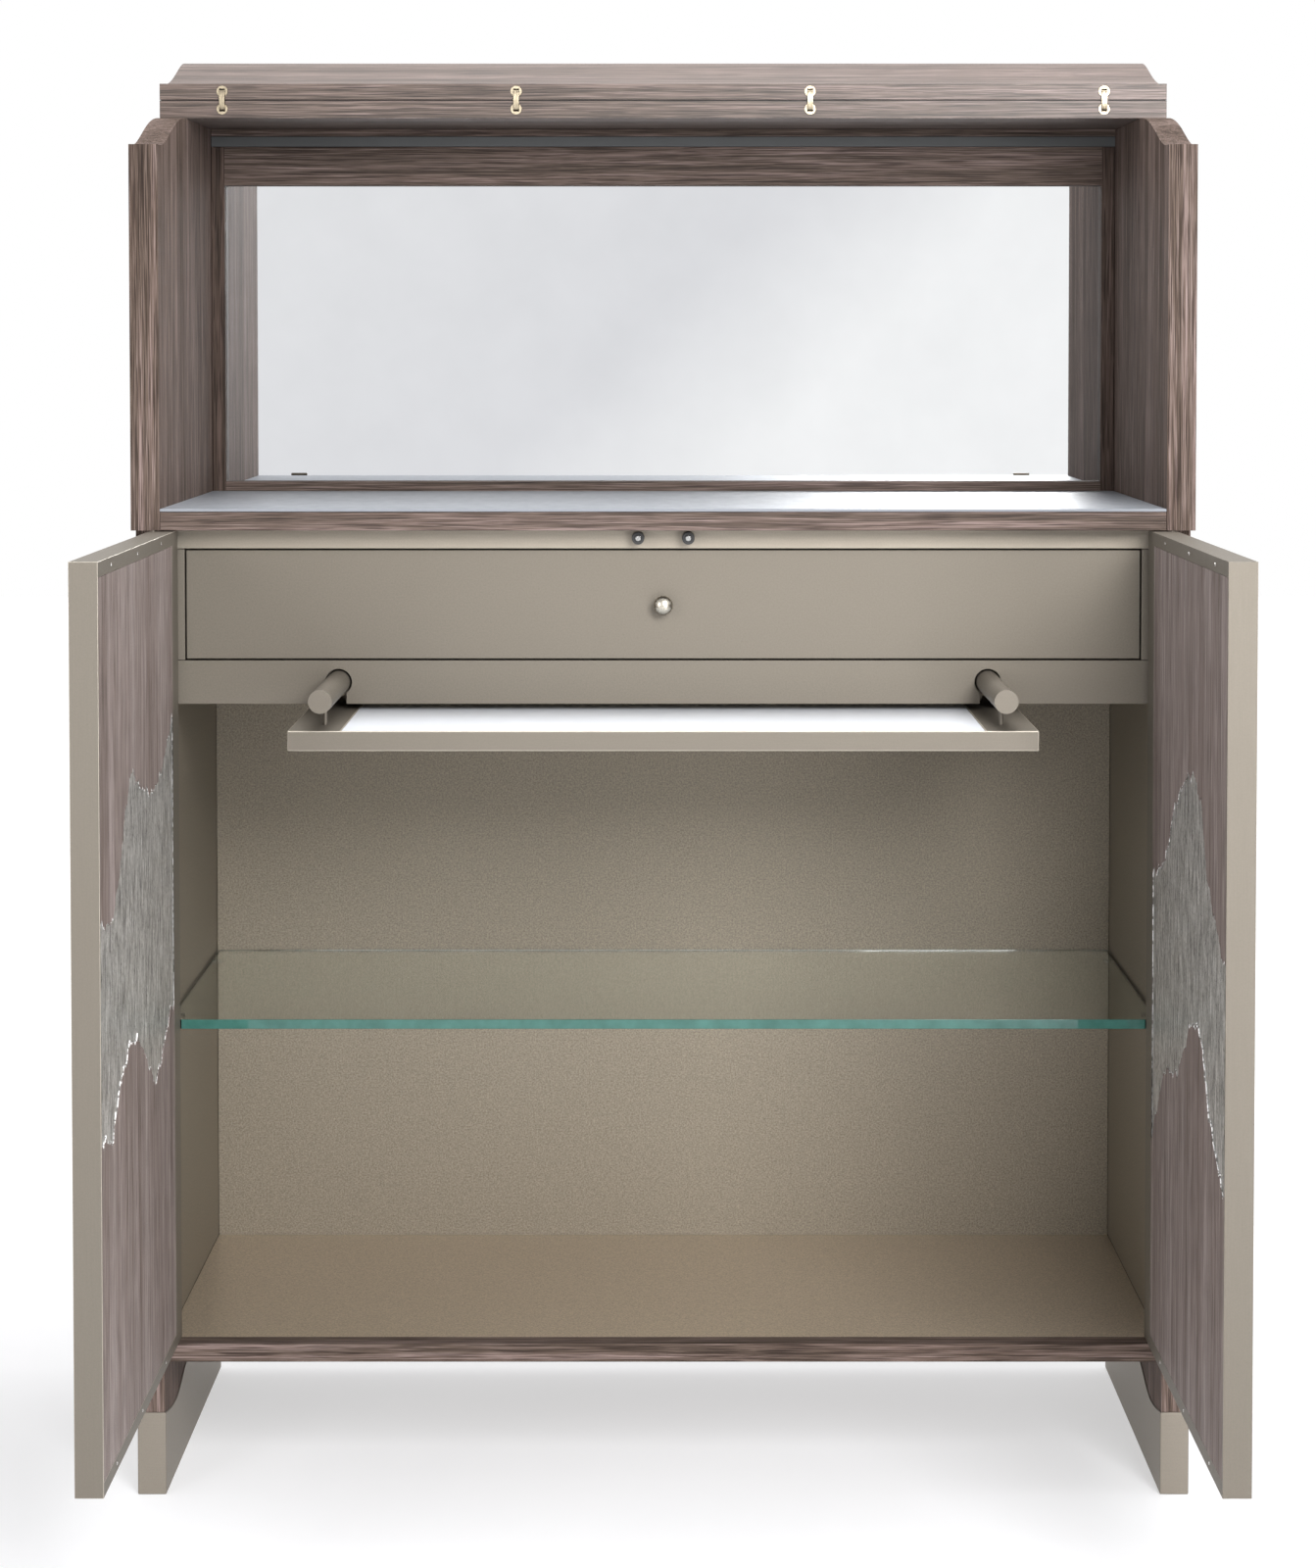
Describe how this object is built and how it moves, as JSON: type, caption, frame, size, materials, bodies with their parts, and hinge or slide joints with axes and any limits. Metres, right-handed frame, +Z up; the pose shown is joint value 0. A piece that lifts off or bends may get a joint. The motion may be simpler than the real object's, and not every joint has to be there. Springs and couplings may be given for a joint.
{
  "type": "bar cabinet",
  "caption": "Tall bar cabinet on slab legs, hinged doors with silver bark inlay, drawer, pull-out tray, glass shelf, mirror niche and a folding top.",
  "frame": {"origin": "under the middle of the whole object at floor level, with the doors open and the tray pulled out", "axes": "+X to the right seen from the front, +Y to the back, +Z up"},
  "size_m": [1.143, 1.042, 1.5817],
  "materials": {
    "wood": "taupe stained veneer, satin",
    "dark_wood": "dark stained, satin",
    "champagne_metal": "champagne satin metal",
    "champagne_lacquer": "champagne metallic lacquer on board",
    "silver_metal": "bark textured silver",
    "brass": "satin brass",
    "black_metal": "black satin",
    "white_glass": "white back-painted glass",
    "clear_glass": "clear glass with green edge",
    "mirror_glass": "mirror",
    "lamp_glass": "dark grey glass strip"
  },
  "bodies": {
    "carcass": {"back_panel": "wood", "barrel_fixed_1": "brass", "barrel_fixed_2": "brass", "barrel_fixed_3": "brass", "barrel_fixed_4": "brass", "bottom_board": "wood", "catch_housing_left": "black_metal", "catch_housing_right": "black_metal", "counter_board": "wood", "counter_glass": "white_glass", "drawer_runner_left": "wood", "drawer_runner_right": "wood", "dust_panel": "wood", "face_rail_top": "champagne_lacquer", "fixed_top": "wood", "glass_shelf": "clear_glass", "lamp_strip": "lamp_glass", "leg_left": "champagne_metal", "leg_right": "champagne_metal", "mirror": "mirror_glass", "mirror_frame": "wood", "niche_fillet": "dark_wood", "rod_guide_left": "champagne_metal", "rod_guide_right": "champagne_metal", "shelf_pin_back_left": "silver_metal", "shelf_pin_back_right": "silver_metal", "shelf_pin_front_left": "silver_metal", "shelf_pin_front_right": "silver_metal", "side_panel_left": "wood", "side_panel_right": "wood", "stile_left": "champagne_lacquer", "stile_right": "champagne_lacquer", "tray_rail": "champagne_lacquer"},
    "leaf": {"barrel_leaf_1": "brass", "barrel_leaf_2": "brass", "barrel_leaf_3": "brass", "barrel_leaf_4": "brass", "folding_leaf": "wood"},
    "links": {"hinge_link_1": "brass", "hinge_link_2": "brass", "hinge_link_3": "brass", "hinge_link_4": "brass"},
    "door_left": {"door_frame_left": "champagne_metal", "door_panel_left": "wood", "inlay_inner_left": "silver_metal", "inlay_outer_left": "silver_metal"},
    "door_right": {"door_frame_right": "champagne_metal", "door_panel_right": "wood", "inlay_inner_right": "silver_metal", "inlay_outer_right": "silver_metal"},
    "drawer": {"drawer_box": "wood", "drawer_front": "champagne_lacquer", "knob": "champagne_metal"},
    "tray": {"tray_frame": "champagne_lacquer", "tray_glass": "white_glass", "tray_rod_left": "champagne_metal", "tray_rod_right": "champagne_metal"},
    "plunger_left": {"catch_plunger_left": "silver_metal"},
    "plunger_right": {"catch_plunger_right": "silver_metal"}
  },
  "joints": [
    {"name": "top_fold", "type": "hinge", "parent": "carcass", "child": "leaf", "pos_m": [0, 0.271, 1.524], "axis": [1, 0, 0], "range_deg": [0, 180]},
    {"name": "link_fold", "type": "hinge", "parent": "carcass", "child": "links", "pos_m": [0, 0.271, 1.524], "axis": [1, 0, 0], "range_deg": [0, 90]},
    {"name": "door_left_swing", "type": "hinge", "parent": "carcass", "child": "door_left", "pos_m": [-0.5479, 0.0254, 0.6], "axis": [0, 0, -1], "range_deg": [-35.5, 15]},
    {"name": "door_right_swing", "type": "hinge", "parent": "carcass", "child": "door_right", "pos_m": [0.5479, 0.0254, 0.6], "axis": [0, 0, 1], "range_deg": [-35.5, 15]},
    {"name": "drawer_slide", "type": "slide", "parent": "carcass", "child": "drawer", "axis": [0, -1, 0], "range_m": [0, 0.3]},
    {"name": "tray_slide", "type": "slide", "parent": "carcass", "child": "tray", "axis": [0, -1, 0], "range_m": [-0.221, 0.08]},
    {"name": "plunger_left_push", "type": "slide", "parent": "carcass", "child": "plunger_left", "axis": [0, 1, 0], "range_m": [0, 0.003], "stiffness_N_per_m": 300},
    {"name": "plunger_right_push", "type": "slide", "parent": "carcass", "child": "plunger_right", "axis": [0, 1, 0], "range_m": [0, 0.003], "stiffness_N_per_m": 300}
  ],
  "couplings": [
    {"joint": "link_fold", "follows": "top_fold", "ratio": 0.5}
  ]
}
